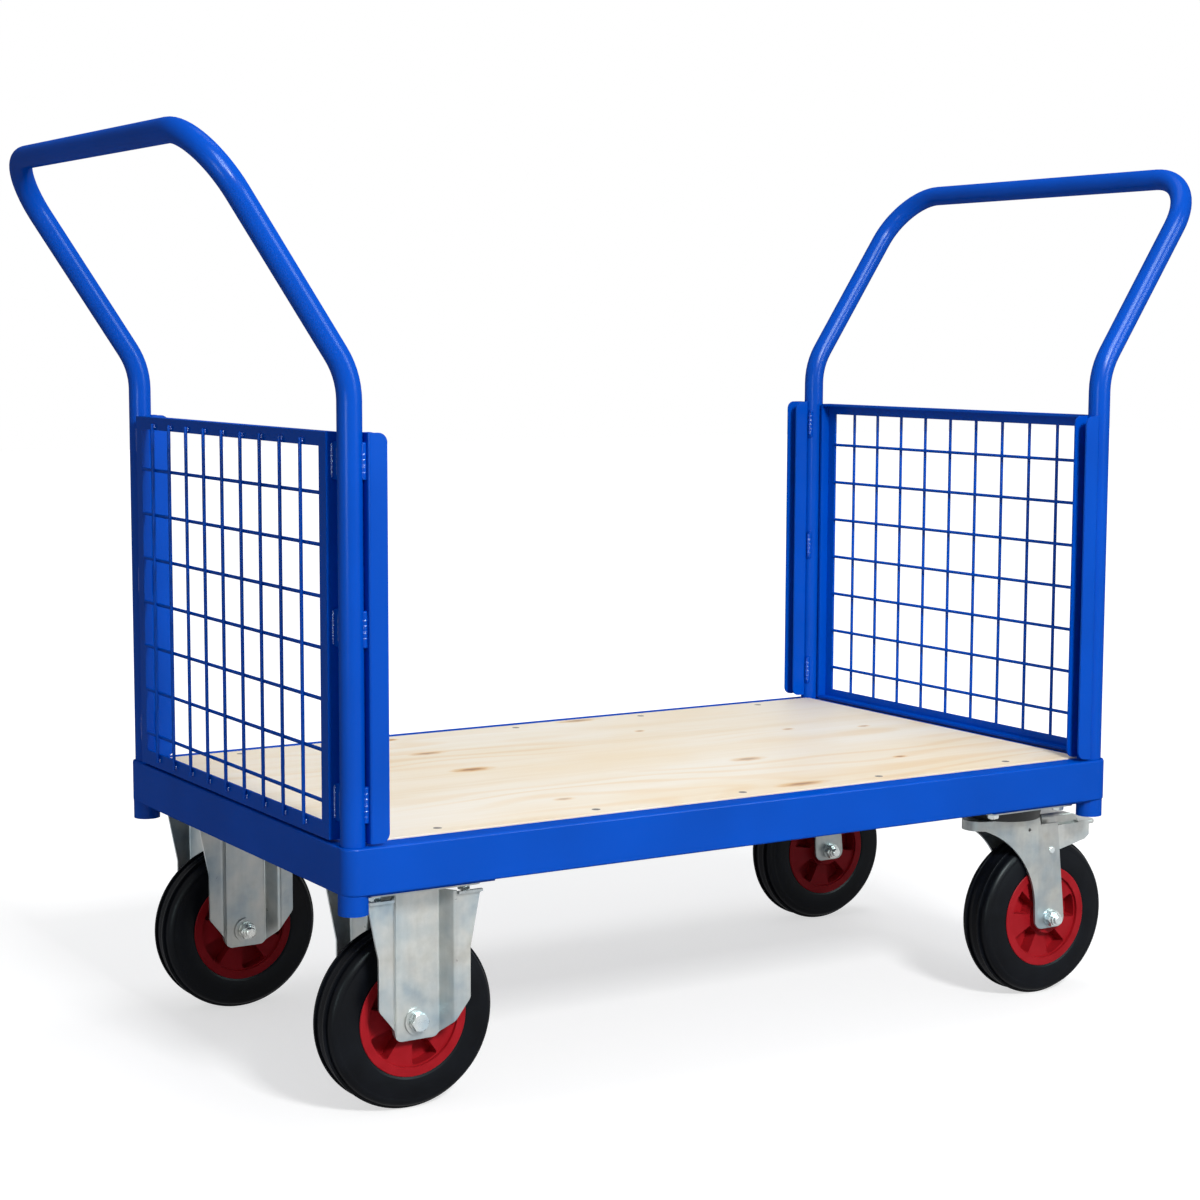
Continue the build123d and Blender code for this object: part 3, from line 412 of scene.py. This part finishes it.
# ---------------------------------------------------------------- weld beads

# the ripples' pitch in metres, and how ripple, sway and taper shape a bead's radius
RIPPLE = 0.0026
RING_POINTS = 10
SWAY_ALONG = 37.0
SWAY_BY_Y = 90.0
SWAY_BY_Z = 50.0
BODY_SHARE = 0.80
RIPPLE_SHARE = 0.20
SWAY_SHARE = 0.10
TAPER_POWER = 6
TAPER_LEAST = 0.05


class Beads:
    """Weld beads gathered into one piece: each a row of ripples, rounded off at its ends."""

    def __init__(self):
        self.points = []
        self.faces = []

    def add(self, start, end, radius):
        start, end = Vector(start), Vector(end)
        length = (end - start).length
        ahead = (end - start) / length
        side = ahead.orthogonal().normalized()
        other = ahead.cross(side)
        count = max(8, round(4 * length / RIPPLE))
        first = len(self.points)
        for i in range(count + 1):
            share = i / count
            ripple = abs(math.sin(math.pi * share * length / RIPPLE))
            sway = math.sin(SWAY_ALONG * share + SWAY_BY_Y * start.y + SWAY_BY_Z * start.z)
            taper = math.sqrt(max(0.0, 1 - (2 * share - 1) ** TAPER_POWER))
            swell = BODY_SHARE + RIPPLE_SHARE * ripple + SWAY_SHARE * sway
            reach = radius * swell * max(taper, TAPER_LEAST)
            middle = start + ahead * (length * share)
            for j in range(RING_POINTS):
                angle = 2 * math.pi * j / RING_POINTS
                self.points.append(middle + (side * math.cos(angle) + other * math.sin(angle)) * reach)
        for i in range(count):
            for j in range(RING_POINTS):
                a = first + i * RING_POINTS + j
                b = first + i * RING_POINTS + (j + 1) % RING_POINTS
                self.faces.append((a, b, b + RING_POINTS, a + RING_POINTS))
        self.faces.append(tuple(first + j for j in reversed(range(RING_POINTS))))
        self.faces.append(tuple(first + count * RING_POINTS + j for j in range(RING_POINTS)))

    def finish(self, name, body):
        mesh = bpy.data.meshes.new(name)
        mesh.from_pydata(self.points, [], self.faces)
        for face in mesh.polygons:
            face.use_smooth = True
        piece = bpy.data.objects.new(name, mesh)
        bpy.context.scene.collection.objects.link(piece)
        mesh.materials.append(WELD_PAINT)
        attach(piece, body)


WIRE_COUNT = 9
# in metres: the handle's legs, the beads' radii, and where the beads lie on the parts
TUBE_RADIUS = 0.013
LEG_X = 0.5043
LEG_Y = 0.2905
CHANNEL_BEAD = 0.0036
LUG_BEAD = 0.0022
WIRE_BEAD = 0.0016
BEAD_HALF = 0.018
MIDDLE_HEIGHT = 0.2195
END_INSET = 0.019
CHANNEL_SINK = 0.0017
CHANNEL_SPREAD = 0.62 * TUBE_RADIUS
LUG_OUT = 0.0078
LUG_SPREAD = 0.8 * TUBE_RADIUS
WIRE_RADIUS = 0.002
WIRE_SIDE = 0.0023
WIRE_BEAD_LENGTH = 0.0055


def add_welds():
    """Beads between legs and guide channels, at the lugs, and at both ends of every upright wire."""
    for sx, end in ((-1, "left"), (1, "right")):
        beads = Beads()
        welds_low, welds_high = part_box("end_welds_" + end)
        wires_low, wires_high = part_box("mesh_upright_wires_" + end)
        rails_low, rails_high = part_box("mesh_side_rails_" + end)
        middle = rails_low[2] + MIDDLE_HEIGHT
        for height in (welds_low[2] + END_INSET, middle, welds_high[2] - END_INSET):
            for sy in (-1, 1):
                for way in (-1, 1):
                    x = sx * (LEG_X - TUBE_RADIUS + CHANNEL_SINK)
                    y = sy * LEG_Y + way * CHANNEL_SPREAD
                    beads.add((x, y, height - BEAD_HALF), (x, y, height + BEAD_HALF), CHANNEL_BEAD)
                rail_y = rails_low[1] if sy < 0 else rails_high[1]
                leg_y = sy * (LEG_Y - LUG_SPREAD)
                x = sx * (LEG_X + LUG_OUT)
                for y in (rail_y, leg_y):
                    beads.add((x, y, height - BEAD_HALF), (x, y, height + BEAD_HALF), LUG_BEAD)
        x = sx * (rails_high[0] if sx > 0 else -rails_low[0])
        pitch = (wires_high[1] - wires_low[1] - 2 * WIRE_RADIUS) / (WIRE_COUNT - 1)
        for i in range(WIRE_COUNT):
            y = wires_low[1] + WIRE_RADIUS + i * pitch
            for z, way in ((wires_low[2], 1), (wires_high[2], -1)):
                tip = z + way * WIRE_BEAD_LENGTH
                for side in (-WIRE_SIDE, WIRE_SIDE):
                    beads.add((x, y + side, z), (x, y + side, tip), WIRE_BEAD)
        beads.finish("weld_beads_" + end, "mesh_end_" + end)


WELD_PAINT = blue_paint("weld_paint", sheen=0.22)
# painted shade: a darker copy of the zinc for the swivel forks, standing in for the deck's shade over
# them
FORK_ZINC_PAINTED_SHADE = zinc_plate("fork_zinc_painted_shade", tint=0.66)
SLOTS = {
    "blue_paint": blue_paint(),
    "plywood": plywood(),
    "zinc_plate": zinc_plate("zinc_plate", tint=0.82),
    "bolt_zinc": zinc_plate("bolt_zinc", tint=1.12, rough=0.26, metal=0.85),
    "screw_steel": screw_steel(),
    "bush_steel": zinc_plate("bush_steel", tint=0.7, rough=0.4),
    "black_shroud": black_shroud(),
    "red_plastic": red_plastic(),
    "tyre_rubber": tyre_rubber(),
}

add_camera()
set_world()
add_floor()
soft_lamp("key", (-0.35, -3.2, 2.3), (0, 0, 0.4), 0.65, 118)
# the three panels draw the streaks along the tubes and light the zinc's sheen
soft_lamp("high_panel", (-0.6, -2.8, 3.0), (0.3, 0, 0.9), 1.7, 290, PANEL_TONE, only_gloss=True)
soft_lamp("right_panel", (1.6, -2.9, 1.5), (-0.4, -0.2, 0.8), 1.3, 90, PANEL_TONE, only_gloss=True)
soft_lamp("left_panel", (-3.4, -2.3, 0.9), (0, 0, 0.6), 1.0, 45, PANEL_TONE, only_gloss=True)
soft_lamp("top", (0.6, 0.3, 3.6), (0, 0, 0.3), 1.6, 34)
bpy.context.scene.view_settings.view_transform = "Standard"

dress(SLOTS)
add_welds()
